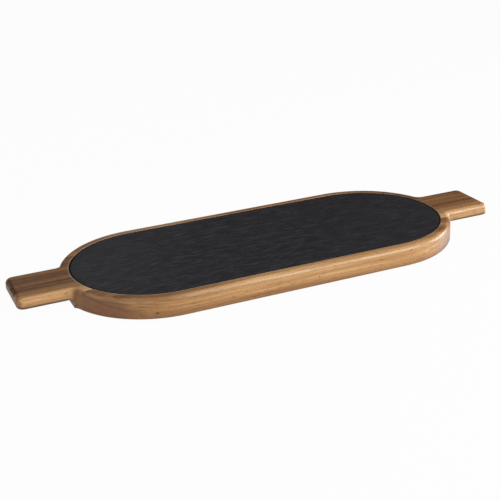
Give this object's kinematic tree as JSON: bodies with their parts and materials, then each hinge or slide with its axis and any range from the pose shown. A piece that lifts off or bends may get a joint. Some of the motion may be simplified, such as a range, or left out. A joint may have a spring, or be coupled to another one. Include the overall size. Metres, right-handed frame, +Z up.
{
  "type": "serving board",
  "caption": "Long oval acacia serving board with a slim handle at each end and a loose slate plate set flush in its top.",
  "frame": {"origin": "on the standing surface, under the middle of the board", "axes": "+X along the board towards one handle, +Y across the board, +Z up"},
  "size_m": [0.5, 0.18, 0.0225],
  "materials": {
    "acacia_front": "oiled, satin",
    "acacia_inner_front": "oiled, satin",
    "acacia_inner_rear": "oiled, satin",
    "acacia_rear": "oiled, satin",
    "slate": "riven, matt",
    "foot_rubber": "clear matt silicone"
  },
  "bodies": {
    "board": {"stave_front": "acacia_front", "stave_inner_front": "acacia_inner_front", "stave_inner_rear": "acacia_inner_rear", "stave_rear": "acacia_rear", "foot_front_left": "foot_rubber", "foot_front_right": "foot_rubber", "foot_rear_left": "foot_rubber", "foot_rear_right": "foot_rubber"},
    "slate": {"slate_plate": "slate"}
  },
  "joints": [
    {"name": "slate_lift", "type": "slide", "parent": "board", "child": "slate", "axis": [0, 0, 1], "range_m": [0, 0.04]}
  ]
}
